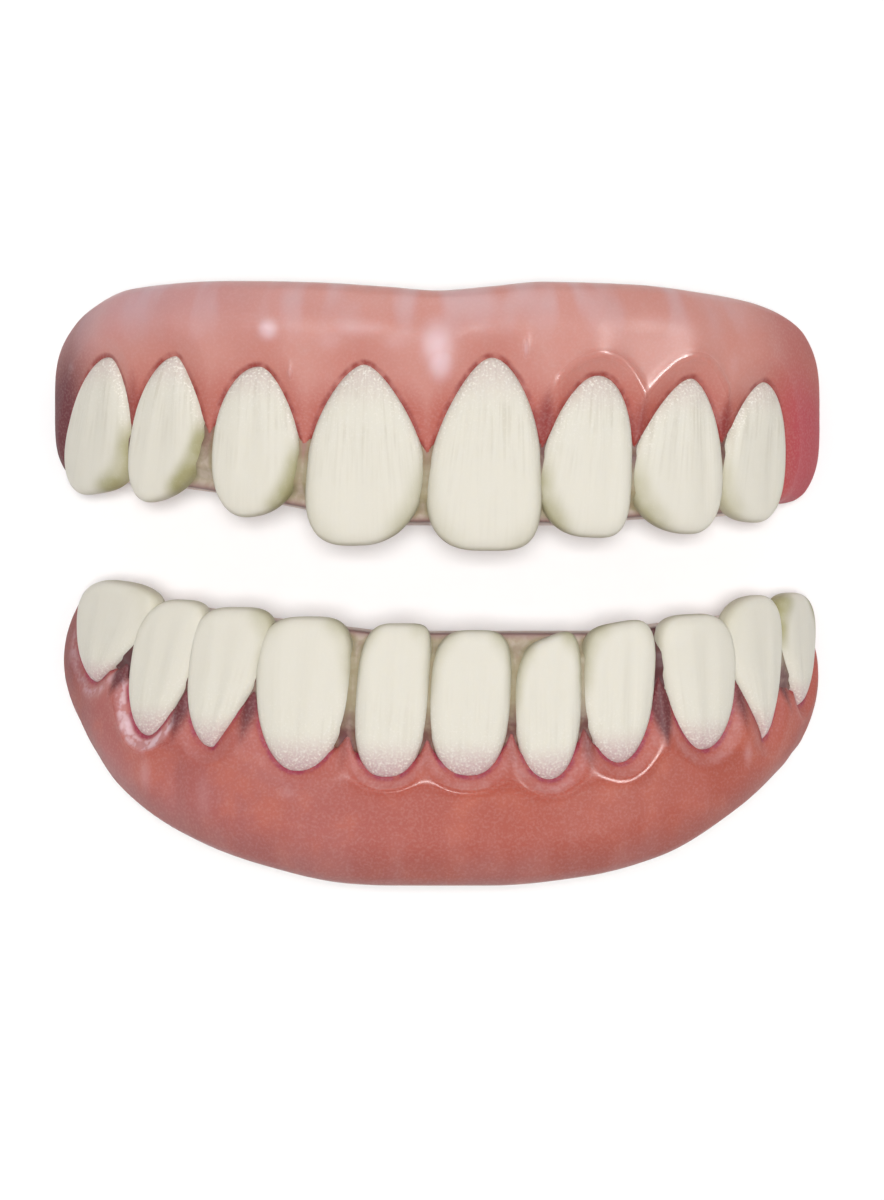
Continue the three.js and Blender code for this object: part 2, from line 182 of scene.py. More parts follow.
def arch_point(plate, degrees, outward, height):
    """The place in millimetres at an angle round the arch, a distance outwards and a height in Y."""
    angle = np.radians(degrees)
    bend = np.clip(angle, -math.pi / 2, math.pi / 2)
    leg_run = (np.abs(angle) - np.abs(bend)) * plate["depth"]
    x = plate["middle"] + (plate["half_width"] + outward) * np.sin(bend)
    z = LEG_HEIGHT + (plate["depth"] + outward) * np.cos(bend) - leg_run
    return np.stack(np.broadcast_arrays(x, height + TABLE_SHIFT, z), axis=-1)


def angle_seen_at(plate, x):
    """The angle round the arch of what is seen from the front at x."""
    return np.degrees(np.arcsin(np.clip(x / plate["half_width"], -1, 1)))


def arch_length(plate, degrees):
    """Millimetres along the line of the teeth, from the front, as if the arch were laid out flat."""
    stops = np.linspace(-FARTHEST_ANGLE, FARTHEST_ANGLE, LENGTH_STEPS + 1)
    line = arch_point(plate, stops, 0, 0)
    run = np.append(0, np.cumsum(np.linalg.norm(np.diff(line, axis=0), axis=1)))
    return np.interp(degrees, stops, run - run[len(run) // 2])


for plate in (UPPER, LOWER):
    ends = arch_length(plate, np.array([-90, 90]))
    print(f"{plate['name']} arch is {ends[1] - ends[0]:.1f} mm long")

# %% Heights between the rows of a table
def smoothstep(value, low, high):
    """Eases a value from 0 at low to 1 at high."""
    share = np.clip((value - low) / (high - low), 0, 1)
    return share * share * (3 - 2 * share)


def lerp(one, other, share):
    """A value that goes from one to other as the share goes from 0 to 1."""
    return one + (other - one) * share


def section(plate, column, degrees):
    """A column of the section table read smoothly at any angle, with no overshoot between its rows."""
    angle = plate["sections"][:, 0]
    value = plate["sections"][:, SECTION_COLUMNS.index(column)]
    rise = np.diff(value) / np.diff(angle)
    before, after = np.append(0, rise), np.append(rise, 0)
    together = np.where(before * after > 0, before + after, 1)
    shared = np.where(before * after > 0, 2 * before * after / together, 0)
    start = np.clip(np.searchsorted(angle, degrees, side="right") - 1, 0, len(angle) - 2)
    span = angle[start + 1] - angle[start]
    share = np.clip((degrees - angle[start]) / span, 0, 1)
    level = lerp(value[start], value[start + 1], share * share * (3 - 2 * share))
    ease_in = share * (1 - share) ** 2 * shared[start]
    ease_out = share**2 * (share - 1) * shared[start + 1]
    return level + span * (ease_in + ease_out)


print("upper rim at the front:", section(UPPER, "rim", np.array([0.0])), "mm")

# %% [markdown]
# ## The outline of a tooth
# Seen from the front a tooth is boxy at its biting end and rounder at its neck, narrows towards the neck,
# leans to one side, and its biting edge may slope. A superellipse with one power for each end gives all of
# that with a few numbers, which is why the table above can stay short. The gum needs to know how far it is
# from each tooth, so we also measure the distance from any place on the flattened arch to the outline.

# %% Tooth outline
NARROWING = 1.5


def tooth_place(plate, tooth, side, rise):
    """x and y on a tooth: side is -1 to 1 across it, and rise is -1 at its edge and 1 at its neck."""
    neckward = np.clip((rise + 1) / 2, 0, 1) ** NARROWING
    left = tooth["left"] * (1 - tooth["left_taper"] * neckward)
    right = tooth["right"] * (1 - tooth["right_taper"] * neckward)
    x = tooth["x"] + side * np.where(side < 0, left, right) + tooth["lean"] * rise / 2
    half_length = abs(tooth["neck"] - tooth["edge"]) / 2
    tilt = tooth["slope"] * (x - tooth["x"]) * (1 - rise) / 2
    y = (tooth["edge"] + tooth["neck"]) / 2 + plate["gumward"] * rise * half_length + tilt
    return x, y


def outline_reach(tooth, turn):
    """How far the outline reaches at a turn round the tooth's middle; a positive sine is neckwards."""
    across, along = np.cos(turn), np.sin(turn)
    corner = np.where(across < 0, tooth["left_square"], tooth["right_square"])
    power = np.where(along < 0, corner, tooth["point"])
    return (np.abs(across) ** power + np.abs(along) ** power) ** (-1 / power)


# %% Distance from a tooth
OUTLINE_POINTS = 240
FAR_MM = 40.0
REACH_MM = 7.0


def distance_to_tooth(plate, tooth, along, height):
    """Millimetres from places on the flattened arch to a tooth's outline, negative inside it."""
    turn = np.linspace(0, 2 * math.pi, OUTLINE_POINTS, endpoint=False)
    reach = outline_reach(tooth, turn)
    x, y = tooth_place(plate, tooth, np.cos(turn) * reach, np.sin(turn) * reach)
    edge = np.stack([arch_length(plate, angle_seen_at(plate, x)), y], axis=1)
    tangent = np.roll(edge, -1, axis=0) - np.roll(edge, 1, axis=0)
    normal = np.stack([tangent[:, 1], -tangent[:, 0]], axis=1) * plate["gumward"]
    distance = np.full(along.shape, FAR_MM)
    low, high = edge.min(axis=0) - REACH_MM, edge.max(axis=0) + REACH_MM
    near = (along > low[0]) & (along < high[0]) & (height > low[1]) & (height < high[1])
    place = np.stack([along[near], height[near]], axis=1)
    apart = np.linalg.norm(place[:, None] - edge[None], axis=2)
    nearest = apart.argmin(axis=1)
    outside = np.sum((place - edge[nearest]) * normal[nearest], axis=1)
    distance[near] = apart.min(axis=1) * np.sign(outside)
    return distance


tooth = UPPER["teeth"][4]
probe_x = np.array([tooth["x"], tooth["x"] + 2 * tooth["right"]])
probe_along = arch_length(UPPER, angle_seen_at(UPPER, probe_x))
probe_height = np.full(2, (tooth["edge"] + tooth["neck"]) / 2)
probe = distance_to_tooth(UPPER, tooth, probe_along, probe_height)
print("distances at the middle of a tooth and beside it:", probe, "mm")


# %% What is known about a gap
def gap_reading(plate, column, degrees):
    """A column about the gaps, read at any angle; each gap lies right of the tooth that names it."""
    pairs = list(zip(plate["teeth"], plate["teeth"][1:]))
    middles = [(one["x"] + one["right"] + other["x"] - other["left"]) / 2 for one, other in pairs]
    angles = angle_seen_at(plate, np.array(middles))
    return np.interp(degrees, angles, [one[column] for one, _ in pairs])


front_angles = np.linspace(-60, 60, 121)
print("darkest gap of the lower plate:", gap_reading(LOWER, "gap_shade", front_angles).max())

# %% [markdown]
# ## Finishing a piece
# Every piece starts as a blank from bmesh operators, with the right faces but a plain shape. We then move its
# vertices to their places all at once with NumPy, which is far quicker than a loop over thousands of
# vertices, and hang helper numbers on them that the finishes can read. The same few lines end every piece:
# normals outwards, smooth shading, a place under the root, and the imported node that it stands for hidden.

# %% From a blank to a piece
def finished_piece(blank, name, node, shape):
    """Moves the blank's vertices by shape, which gives places in millimetres and named helper numbers."""
    mesh = bpy.data.meshes.new(name)
    blank.to_mesh(mesh)
    blank.free()
    start = np.empty(len(mesh.vertices) * 3)
    mesh.vertices.foreach_get("co", start)
    places, helpers = shape(start.reshape(-1, 3))
    mesh.vertices.foreach_set("co", (places * MM).ravel())
    outward = bmesh.new()
    outward.from_mesh(mesh)
    bmesh.ops.recalc_face_normals(outward, faces=outward.faces)
    outward.to_mesh(mesh)
    outward.free()
    for helper, values in helpers.items():
        kind = "FLOAT" if values.ndim == 1 else "FLOAT_VECTOR"
        field = "value" if values.ndim == 1 else "vector"
        numbers = values.astype(np.float32).ravel()
        mesh.attributes.new(helper, kind, "POINT").data.foreach_set(field, numbers)
    mesh.shade_smooth()
    piece = bpy.data.objects.new(name, mesh)
    bpy.context.collection.objects.link(piece)
    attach(piece, "root")
    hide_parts(node)
    return piece


made = {"gum_acrylic": [], "tooth_acrylic": [], "tray_acrylic": []}
print("finishes to fill:", ", ".join(made))

# %% [markdown]
# ## Teeth
# Each tooth is a cast ivory crown: a broad face with a few faint upright ridges, flat almost to the biting
# edge, and a back that sinks into the tray. A UV sphere would pinch at its pole in the middle of the face,
# so we subdivide a cube and blow it up to a ball, whose faces are all much the same size, and draw the ball
# out to the tooth's outline.

# %% Tooth blank
TOOTH_CUTS = 39


def tooth_blank():
    """A cube cut into small faces, to be blown up to a ball."""
    blank = bmesh.new()
    bmesh.ops.create_cube(blank, size=2)
    bmesh.ops.subdivide_edges(blank, edges=blank.edges, cuts=TOOTH_CUTS, use_grid_fill=True)
    return blank


print("a tooth starts with", 6 * (TOOTH_CUTS + 1) ** 2, "faces")

# %% Tooth shape
TOOTH_FACE, TOOTH_BACK = 1.0, -1.2
FACE_ROUND, BACK_ROUND, BACK_FLAT = 0.75, 0.3, 0.6
FACE_POWER_AT_NECK, FACE_POWER_AT_EDGE = 5.0, 10.0
FLATTER_FROM, FLATTER_TO = -0.2, 0.9
RIDGES, RIDGE_HEIGHT = 3, 0.05
# Where stain starts and is full: out to a flank, out on the face all round, and from the neck to the edge
FLANK_FROM, FLANK_TO = 0.1, 0.6
STAIN_FROM, STAIN_TO = 0.6, 1.0
STAIN_STARTS, STAIN_FULL = -0.25, 0.4


def tooth_shape(plate, tooth, number):
    """Gives the function that draws a ball out to one tooth and hangs on it what its finish reads."""

    def shape(start):
        ball = start / np.linalg.norm(start, axis=1, keepdims=True)
        spread = np.hypot(ball[:, 0], ball[:, 1])
        turn = np.arctan2(ball[:, 1], ball[:, 0])
        is_face = ball[:, 2] >= 0
        share = spread ** np.where(is_face, FACE_ROUND, BACK_ROUND)
        reach = outline_reach(tooth, turn) * share
        side, rise = np.cos(turn) * reach, np.sin(turn) * reach
        power = lerp(FACE_POWER_AT_NECK, FACE_POWER_AT_EDGE, smoothstep(-rise, FLATTER_FROM, FLATTER_TO))
        ridge = np.cos(side * math.pi * RIDGES + number) * RIDGE_HEIGHT * (1 - share**2)
        face = TOOTH_FACE * np.sqrt(np.clip(1 - share**power, 0, 1)) + ridge
        back = TOOTH_BACK * np.abs(ball[:, 2]) ** BACK_FLAT
        x, y = tooth_place(plate, tooth, side, rise)
        places = arch_point(plate, angle_seen_at(plate, x), np.where(is_face, face, back), y)
        half_length = abs(tooth["neck"] - tooth["edge"]) / 2
        half_width = (tooth["left"] + tooth["right"]) / 2
        grain = np.stack([side * half_width, rise * half_length, np.full_like(side, number)], axis=1)
        edge = np.where(is_face, share, 1.0)
        left_flank = tooth["left_stain"] * smoothstep(-side, FLANK_FROM, FLANK_TO)
        right_flank = tooth["right_stain"] * smoothstep(side, FLANK_FROM, FLANK_TO)
        stain = (left_flank + right_flank) * smoothstep(edge, STAIN_FROM, STAIN_TO)
        stain = stain * smoothstep(-rise, STAIN_STARTS, STAIN_FULL)
        blush = np.full_like(rise, plate["blush"])
        helpers = {"edge": edge, "rise": rise, "stain": stain, "blush": blush, "grain_mm": grain}
        return places, helpers

    return shape


print("a tooth's face stands", TOOTH_FACE, "mm out from the line of the teeth")

# %% Set the teeth
for plate in (UPPER, LOWER):
    for number, tooth in enumerate(plate["teeth"], start=1):
        name, node = f"{plate['name']}_crown_{number}", f"{plate['name']}_tooth_{number}"
        shape = tooth_shape(plate, tooth, number)
        crown = finished_piece(tooth_blank(), name, node, shape)
        made["tooth_acrylic"].append(crown)
print(len(made["tooth_acrylic"]), "crowns of", len(crown.data.polygons), "faces")

# %% [markdown]
# ## Gums
# The pink gum is one skin from the tips between the teeth to the outer rim. It swells over each root, dips
# towards each tooth in a rolled margin, and is rounded off all along its rim. Spinning a section round would
# do, but hundreds of steps are slow, so we cut a capped cylinder into hundreds of rings, which is the same
# tube, and lay it along the arch: fine on its front to carry all of that, coarse on its back, hidden on the
# tray.

# %% A tube blank
TUBE_HALF = 1.0


def tube_blank(rows, columns):
    """A closed tube with rows points round it, cut into columns along its length, for a gum or a tray."""
    blank = bmesh.new()
    bmesh.ops.create_cone(
        blank, cap_ends=True, cap_tris=False, segments=rows, radius1=1.0, radius2=1.0, depth=2 * TUBE_HALF
    )
    long_edges = [edge for edge in blank.edges if abs(edge.verts[0].co.z - edge.verts[1].co.z) > TUBE_HALF]
    bmesh.ops.subdivide_edges(blank, edges=long_edges, cuts=columns - 1)
    return blank


def tube_places(start, rows):
    """Where each vertex of a tube lies: a share from -1 to 1 along it, and its number round it."""
    turn = np.arctan2(start[:, 1], start[:, 0]) / (2 * math.pi)
    return start[:, 2] / TUBE_HALF, np.rint(turn * rows).astype(int) % rows


trial = tube_blank(8, 3)
print("a trial tube of 8 rows and 3 columns has", len(trial.faces), "faces with its caps")
trial.free()

# %% How far the gum stands out
GUM_BACK, GUM_CREST, GUM_TIP, GUM_RIM, GUM_END_EDGE = -1.45, 0.8, 0.3, -0.5, -0.8
THIN_TO_TIPS, THIN_TO_RIM = 0.4, 0.7
END_TURN_FROM, END_TURN_TO = 48, 84
ROOT_SPREAD, BETWEEN_ROOTS = 4.2, 0.5


def gum_swell(plate, degrees, share):
    """The gum's face before the teeth press into it: swollen over each root, thin at its tips and rim."""
    toward_tips = np.maximum(0, 1 - share / THIN_TO_TIPS) ** 2
    toward_rim = np.maximum(0, (share - THIN_TO_RIM) / (1 - THIN_TO_RIM)) ** 2
    front = GUM_CREST + (GUM_TIP - GUM_CREST) * toward_tips + (GUM_RIM - GUM_CREST) * toward_rim
    end = GUM_CREST + (GUM_END_EDGE - GUM_CREST) * (2 * share - 1) ** plate["end_square"]
    roots = np.zeros_like(degrees)
    for tooth in plate["teeth"]:
        offset = (degrees - angle_seen_at(plate, tooth["x"] + tooth["lean"] / 2)) / ROOT_SPREAD
        roots = roots + np.exp(-offset * offset)
    turn = smoothstep(np.abs(degrees), END_TURN_FROM, END_TURN_TO)
    swell = plate["swell"] * (roots - BETWEEN_ROOTS) * np.sin(math.pi * share) * (1 - turn)
    return lerp(front, end, turn) + swell


print("the upper gum's front stands", gum_swell(UPPER, np.zeros(1), np.full(1, 0.5)), "mm out")

# %% [markdown]
# ## Margins and marks on the gum
# Where a tooth leaves the gum, the wax was rolled back with a hot knife: the gum dips to the tooth, and the
# crest of the roll is buffed to a bright line. A bevel along the seam would give every tooth the same roll,
# so we use the distance to each tooth, which lets each have its own. A soft minimum over the teeth makes the
# crest lines of neighbours weave into one. The thumb marks are soft domes, faded out before they reach a
# tooth, and each swelling also carries a pale patch of painted highlight. The edge is rounded by its
# distance to the rim, the tips and the ends.

# %% Rolled margins
SEAM = 0.30
BEAD_HEIGHT, BEAD_WIDTH = 0.10, 0.40
# Where on each roll its pale tint and painted sheen lie, as shares of the roll's width
PALE_MIDDLE, PALE_WIDTH = 0.6, 0.5
GLOSS_SOFT, DULL_SOFT = 0.10, 0.45


def soft_lower(one, other, soft):
    """The lower of two heights, with the corner between them rounded."""
    blend = np.clip(0.5 + 0.5 * (other - one) / soft, 0, 1)
    return lerp(other, one, blend) - soft * blend * (1 - blend)


def rolled_margins(plate, distances, outward, seam):
    """Presses the teeth into the gum; gives its face, how pale it is, partly as painted sheen, and how
    glossy.
    """
    crest = np.maximum(outward, GUM_CREST)
    pale, gloss, nearness = np.zeros_like(seam), np.zeros_like(seam), np.zeros_like(seam)
    for tooth, distance in zip(plate["teeth"], distances):
        outward = soft_lower(outward, seam + (crest - seam) * distance / tooth["roll"], tooth["soft"])
        on_roll = np.exp(-(((distance / tooth["roll"] - PALE_MIDDLE) / PALE_WIDTH) ** 2))
        pale = np.maximum(pale, tooth["pale"] * on_roll)
        weight = np.exp((tooth["roll"] - distance) / plate["weave"])
        nearness = nearness + weight
        gloss = gloss + weight * (1 - smoothstep(tooth["soft"], GLOSS_SOFT, DULL_SOFT))
    past_crest = -plate["weave"] * np.log(nearness)
    gloss = gloss / nearness * np.exp(-((past_crest / BEAD_WIDTH) ** 2))
    return outward + BEAD_HEIGHT * gloss, pale, gloss


print("two slopes that cross at 1 mm are rounded to", soft_lower(1.0, 1.0, SEAM), "mm")

# %% Thumb marks and rounded edges
# The rise of a mound whose middle gets the full pale patch of painted highlight
PAINTED_HIGHLIGHT_RISE, MARK_FADE = 0.2, 1.0
LOWEST_FRONT = -1.0
EDGE_ROUND, EDGE_LEFT = 0.7, 0.12


def thumb_marks_and_painted_highlights(plate, along, height, margin, outward, gloss):
    """Raises the mounds and sinks the groove; gives the gum's face, its painted highlight and how glossy it
    is.
    """
    painted_highlight = np.zeros_like(height)
    for mound in plate["mounds"]:
        across = (along - arch_length(plate, angle_seen_at(plate, mound["x"]))) / mound["width"]
        dome = np.exp(-(across**2) - ((height - mound["y"]) / mound["height"]) ** 2)
        outward = outward + mound["rise"] * dome * smoothstep(margin, 0, MARK_FADE)
        painted_highlight = np.maximum(painted_highlight, dome * mound["rise"] / PAINTED_HIGHLIGHT_RISE)
        gloss = np.maximum(gloss, dome * mound["polish"])
    return outward, painted_highlight, gloss


def rounded_off(outward, to_edge):
    """Rounds the gum's face down to its back where it comes close to an edge."""
    outward = np.maximum(outward, LOWEST_FRONT)
    rounded = np.sqrt(1 - (1 - np.clip(to_edge / EDGE_ROUND, 0, 1)) ** 2)
    return GUM_BACK + (outward - GUM_BACK) * lerp(EDGE_LEFT, 1, rounded)


print(len(UPPER["mounds"]) + len(LOWER["mounds"]), "thumb marks")

# %% The gum's shape
GUM_FRONT_ROWS, GUM_LOOP_ROWS, GUM_COLUMNS = 120, 152, 600
GUM_END_ANGLE = 91.5
# How close the second tooth must be for painted shade in a gap
CREVICE_NARROW, CREVICE_WIDE = 0.35, 2.6
TIP_REACH, TIP_DIVE, TIP_DIVE_FROM = 0.7, 0.6, 0.9
TIP_HALF, TIP_SLOPE = 1.4, 1.0
POLISHED, DULL_END = 0.18, 0.75
DULL_FROM, DULL_TO = 60, 80


def gum_shape(plate):
    """Gives the function that lays a tube along the arch as a gum and hangs on it what its finish reads."""

    def shape(start):
        length, row = tube_places(start, GUM_LOOP_ROWS)
        degrees = length * GUM_END_ANGLE
        along = arch_length(plate, degrees)
        is_front = row <= GUM_FRONT_ROWS
        back_share = (GUM_LOOP_ROWS - row) / (GUM_LOOP_ROWS - GUM_FRONT_ROWS)
        share = np.where(is_front, row / GUM_FRONT_ROWS, back_share)
        rim = section(plate, "rim", degrees)
        tips = section(plate, "tips", degrees) - TIP_REACH * plate["gumward"]
        height = lerp(tips, rim, share)
        rim_mm, tips_mm = np.abs(rim - height), np.abs(height - tips)
        end_mm = arch_length(plate, np.full_like(degrees, GUM_END_ANGLE)) - np.abs(along)
        distances = [distance_to_tooth(plate, tooth, along, height) for tooth in plate["teeth"]]
        margin, second = np.sort(distances, axis=0)[:2]
        beside_tip = np.minimum(second - margin, TIP_HALF)
        seam = SEAM - TIP_DIVE * (1 - smoothstep(tips_mm - TIP_SLOPE * beside_tip, 0, TIP_DIVE_FROM))
        outward = gum_swell(plate, degrees, share)
        outward, pale, gloss = rolled_margins(plate, distances, outward, seam)
        outward, painted_highlight, gloss = thumb_marks_and_painted_highlights(plate, along, height, margin, outward, gloss)
        outward = rounded_off(outward, np.minimum(np.minimum(rim_mm, tips_mm), end_mm))
        outward = np.where(is_front, outward, GUM_BACK)
        is_upper = np.full_like(height, float(plate["gumward"] > 0))
        # Painted shade in the narrow gaps, darkest where two teeth come close
        narrow = 1 - smoothstep(second, CREVICE_NARROW, CREVICE_WIDE)
        crevice_shade = gap_reading(plate, "gap_shade", degrees) * narrow
        dull = smoothstep(np.abs(degrees), DULL_FROM, DULL_TO)
        helpers = {
            "margin_mm": margin, "rim_mm": rim_mm, "pale": pale, "crevice_shade": crevice_shade, "is_upper": is_upper,
            "tips_mm": tips_mm, "painted_highlight": painted_highlight,
            "roughness": lerp(lerp(plate["satin"], POLISHED, gloss), DULL_END, dull),
            "end": degrees / GUM_END_ANGLE, "flow_mm": np.stack([along, height, is_upper], axis=1),
        }
        return arch_point(plate, degrees, outward, height), helpers

    return shape


print("a gum has", GUM_LOOP_ROWS, "rows and", GUM_COLUMNS, "columns")

# %% Lay the gums
for plate in (UPPER, LOWER):
    name = plate["name"]
    blank = tube_blank(GUM_LOOP_ROWS, GUM_COLUMNS)
    gum = finished_piece(blank, f"{name}_gum_skin", f"{name}_gum", gum_shape(plate))
    made["gum_acrylic"].append(gum)
    print(gum.name, "has", len(gum.data.polygons), "faces")

# %% [markdown]
# ## Trays
# Behind the teeth a thin tray is folded into a channel that slips over the wearer's own teeth. From the front
# it shows only as a web between the crowns, where the acrylic has crept up their flanks. The same tube
# blank makes it: here each ring follows the folded section, and smoothing the ring rounds every corner.

# %% The tray's folded section
TRAY_FACE, TRAY_WALL, CHANNEL_WIDTH = -1.5, 1.2, 6.0
CHANNEL_DEPTH, CHANNEL_DEPTH_AT_ENDS = 8.0, 5.5
TRAY_BELOW_RIM, TRAY_CHAMFER = 1.6, 0.7
FOLD_STEPS = (60, 6, 14, 5, 14, 4, 12, 4, 12, 4, 13, 4)
ROUNDING_PASSES = 6


def tray_section(plate, degrees):
    """Distances outwards and heights gumwards round the tray's section, one loop for each angle."""
    rim, web = section(plate, "rim", degrees), section(plate, "web", degrees)
    turn = smoothstep(np.abs(degrees), END_TURN_FROM, END_TURN_TO)
    front_wall = np.abs(rim - web) - TRAY_BELOW_RIM
    inner_wall = lerp(CHANNEL_DEPTH, CHANNEL_DEPTH_AT_ENDS, turn) + TRAY_WALL
    front = TRAY_FACE - TRAY_WALL
    back = front - CHANNEL_WIDTH
    outside = back - TRAY_WALL
    cut, floor = TRAY_CHAMFER, TRAY_WALL
    corners = (
        (TRAY_FACE, front_wall), (TRAY_FACE, cut), (TRAY_FACE - cut, 0), (outside + cut, 0),
        (outside, cut), (outside, inner_wall), (back, inner_wall), (back, floor + cut),
        (back + cut, floor), (front - cut, floor), (front, floor + cut), (front, front_wall),
    )
    corners = [np.stack(np.broadcast_arrays(*corner, degrees)[:2], axis=-1) for corner in corners]
    runs = []
    for one, other, steps in zip(corners, corners[1:] + corners[:1], FOLD_STEPS):
        share = (np.arange(steps) / steps)[None, :, None]
        runs.append(lerp(one[:, None], other[:, None], share))
    loop = np.concatenate(runs, axis=1)
    for _ in range(ROUNDING_PASSES):
        loop = (np.roll(loop, 1, axis=1) + 2 * loop + np.roll(loop, -1, axis=1)) / 4
    return loop


print("the tray's section has", sum(FOLD_STEPS), "points round it")

# %% How far the web creeps up between the crowns
WEB_AT_TOOTH, WEB_AT_TIPS, WEB_AT_EDGE, WEB_MIDDLE, WEB_REACH = 0.40, 0.2, -0.5, 0.0, 0.8
IVORY_WEB_MIDDLE = 0.75
WEB_UNDER_GUM, WEB_FADE = 0.8, 6.0


def web_creep(gap, ivory, past_tips, fold):
    """How far out the web stands: high at a tooth, lower at the gum's tips and at the tray's own edge."""
    middle = lerp(WEB_MIDDLE, IVORY_WEB_MIDDLE, ivory)
    creep = lerp(WEB_AT_TOOTH, middle, smoothstep(gap, 0, WEB_REACH))
    creep = lerp(creep, WEB_AT_TIPS, smoothstep(past_tips, -WEB_UNDER_GUM, 0))
    return lerp(WEB_AT_EDGE, creep, smoothstep(fold, TRAY_CHAMFER, 3 * TRAY_CHAMFER))


def between_ends(plate, degrees):
    """1 along the row of teeth, fading to 0 at the outer flanks of the first and the last."""
    first, last = plate["teeth"][0], plate["teeth"][-1]
    left_end = angle_seen_at(plate, first["x"] - first["left"])
    right_end = angle_seen_at(plate, last["x"] + last["right"])
    past_left = smoothstep(degrees, left_end, left_end + WEB_FADE)
    return past_left * smoothstep(-degrees, -right_end, WEB_FADE - right_end)


print("web left at the two legs and the front:", between_ends(LOWER, np.array([-90.0, 90.0, 0.0])))

# %% The tray's shape
TRAY_COLUMNS = 360
TRAY_ROWS = sum(FOLD_STEPS)


def tray_shape(plate):
    """Gives the function that folds a tube to a tray and hangs on it what its finish reads."""

    def shape(start):
        leg_end = 90 + math.degrees(LEG_HEIGHT / plate["depth"])
        length, row = tube_places(start, TRAY_ROWS)
        column = np.rint((length + 1) / 2 * TRAY_COLUMNS).astype(int)
        stops = np.linspace(-leg_end, leg_end, TRAY_COLUMNS + 1)
        degrees = stops[column]
        outward, fold = tray_section(plate, stops)[column, row].T
        x = (plate["half_width"] + outward) * np.sin(np.radians(np.clip(degrees, -90, 90)))
        height = section(plate, "web", angle_seen_at(plate, x)) + plate["gumward"] * fold
        along = arch_length(plate, degrees)
        gap = np.full_like(height, FAR_MM)
        for tooth in plate["teeth"]:
            gap = np.minimum(gap, distance_to_tooth(plate, tooth, along, height))
        ivory = gap_reading(plate, "gap_ivory", degrees)
        shade = gap_reading(plate, "gap_shade", degrees)
        past_tips = (height - section(plate, "tips", degrees)) * plate["gumward"]
        creep = web_creep(gap, ivory, past_tips, fold)
        on_front = smoothstep(outward, TRAY_FACE - 2 * TRAY_CHAMFER, TRAY_FACE - TRAY_CHAMFER / 2)
        between = between_ends(plate, degrees)
        shown = (1 - smoothstep(past_tips, WEB_UNDER_GUM, 2 * WEB_UNDER_GUM)) * between
        outward = lerp(outward, np.maximum(outward, creep), on_front * shown)
        helpers = {
            "gap_mm": gap, "past_tips_mm": past_tips, "ivory": ivory, "shade": shade,
            "fold_mm": fold, "web": on_front * between,
        }
        return arch_point(plate, degrees, outward, height), helpers

    return shape


print("a tray has", TRAY_ROWS, "rows and", TRAY_COLUMNS, "columns")

# %% Fold the trays
for plate in (UPPER, LOWER):
    name = plate["name"]
    blank = tube_blank(TRAY_ROWS, TRAY_COLUMNS)
    tray = finished_piece(blank, f"{name}_tray_shell", f"{name}_tray", tray_shape(plate))
    made["tray_acrylic"].append(tray)
    print(tray.name, "has", len(tray.data.polygons), "faces")

# %% [markdown]
# ## Tools for the finishes
# All three finishes are acrylic resin, poured or pressed in a mould and polished, so they share an IOR of
# 1.49. Colours are given as hex values, as a shade guide would list them, and one function turns them to the
# linear numbers that Blender works in. Patterns are sized in millimetres. A painted image could hold the
# tints, but layers placed by distance from the teeth, the rim and the tips stay with a shape that is changed.

# %% Colour, size and node helpers
ACRYLIC_IOR = 1.49


def linear(shade):
    """The linear colour of an sRGB hex value."""
    parts = [int(shade[i : i + 2], 16) / 255 for i in (1, 3, 5)]
    return tuple(((c + 0.055) / 1.055) ** 2.4 if c > 0.04045 else c / 12.92 for c in parts) + (1.0,)


def per_metre(size_mm):
    """The scale of a pattern whose features are size_mm apart, for coordinates in metres."""
    return 1 / (size_mm * MM)


def add_node(material, kind, inputs, **settings):
    """Adds a node with its settings; inputs are values or sockets to link, by the input's name or number."""
    made_node = material.node_tree.nodes.new(kind)
    for name, value in settings.items():
        setattr(made_node, name, value)
    for name, value in inputs.items():
        if isinstance(value, bpy.types.NodeSocket):
            material.node_tree.links.new(value, made_node.inputs[name])
        else:
            made_node.inputs[name].default_value = value
    return made_node


def new_finish(name):
    """A new material and its shader node."""
    material = bpy.data.materials.new(name)
    material.use_nodes = True
    return material, material.node_tree.nodes["Principled BSDF"]


# Numbers of the colour sockets of a Mix node, whose names are shared by its other kinds of data
MIX_A, MIX_B, MIX_RESULT = 6, 7, 2

# What a mask gives a Map Range node after its reading
RANGE_ENDS = ("From Min", "From Max", "To Min", "To Max")


def painted(material, colour, readings, layers):
    """A colour under layers of tint; a layer shows by its masks, multiplied, and a mask eases a reading."""
    for tint, *masks in layers:
        share = None
        for reading, *ends in masks:
            eased = {"Value": readings[reading], **dict(zip(RANGE_ENDS, ends))}
            mask = add_node(material, "ShaderNodeMapRange", eased, interpolation_type="SMOOTHSTEP")
            mask = mask.outputs["Result"]
            if share:
                mask = add_node(material, "ShaderNodeMath", {0: share, 1: mask}, operation="MULTIPLY")
                mask = mask.outputs["Value"]
            share = mask
        mix = {"Factor": share, MIX_A: colour, MIX_B: linear(tint)}
        colour = add_node(material, "ShaderNodeMix", mix, data_type="RGBA").outputs[MIX_RESULT]
    return colour


print("acrylic bends light by", ACRYLIC_IOR)

# %% [markdown]
# ## Gum acrylic
# Heat-cured pink acrylic, polished and tinted by hand in thin layers, as a technician does: a salmon ground,
# redder on the lower plate and where it thins towards the teeth, with painted shade making the lower plate
# and its rim darker; lilac bands over the upper roots near the rim, partly tint and partly painted sheen;
# pale rolls round a few teeth, partly tint and partly painted sheen and glints; pale patches of painted
# highlight on the mounds; maroon ends, made darker by painted shade where the gum turns away; a red seam
# along each tooth; and painted shade in the narrow gaps. Light sinks a little way into it, so it gets
# subsurface scattering. It has a satin finish but for the rolled margins, which were buffed to a gloss, and
# the ends, which were left dull.

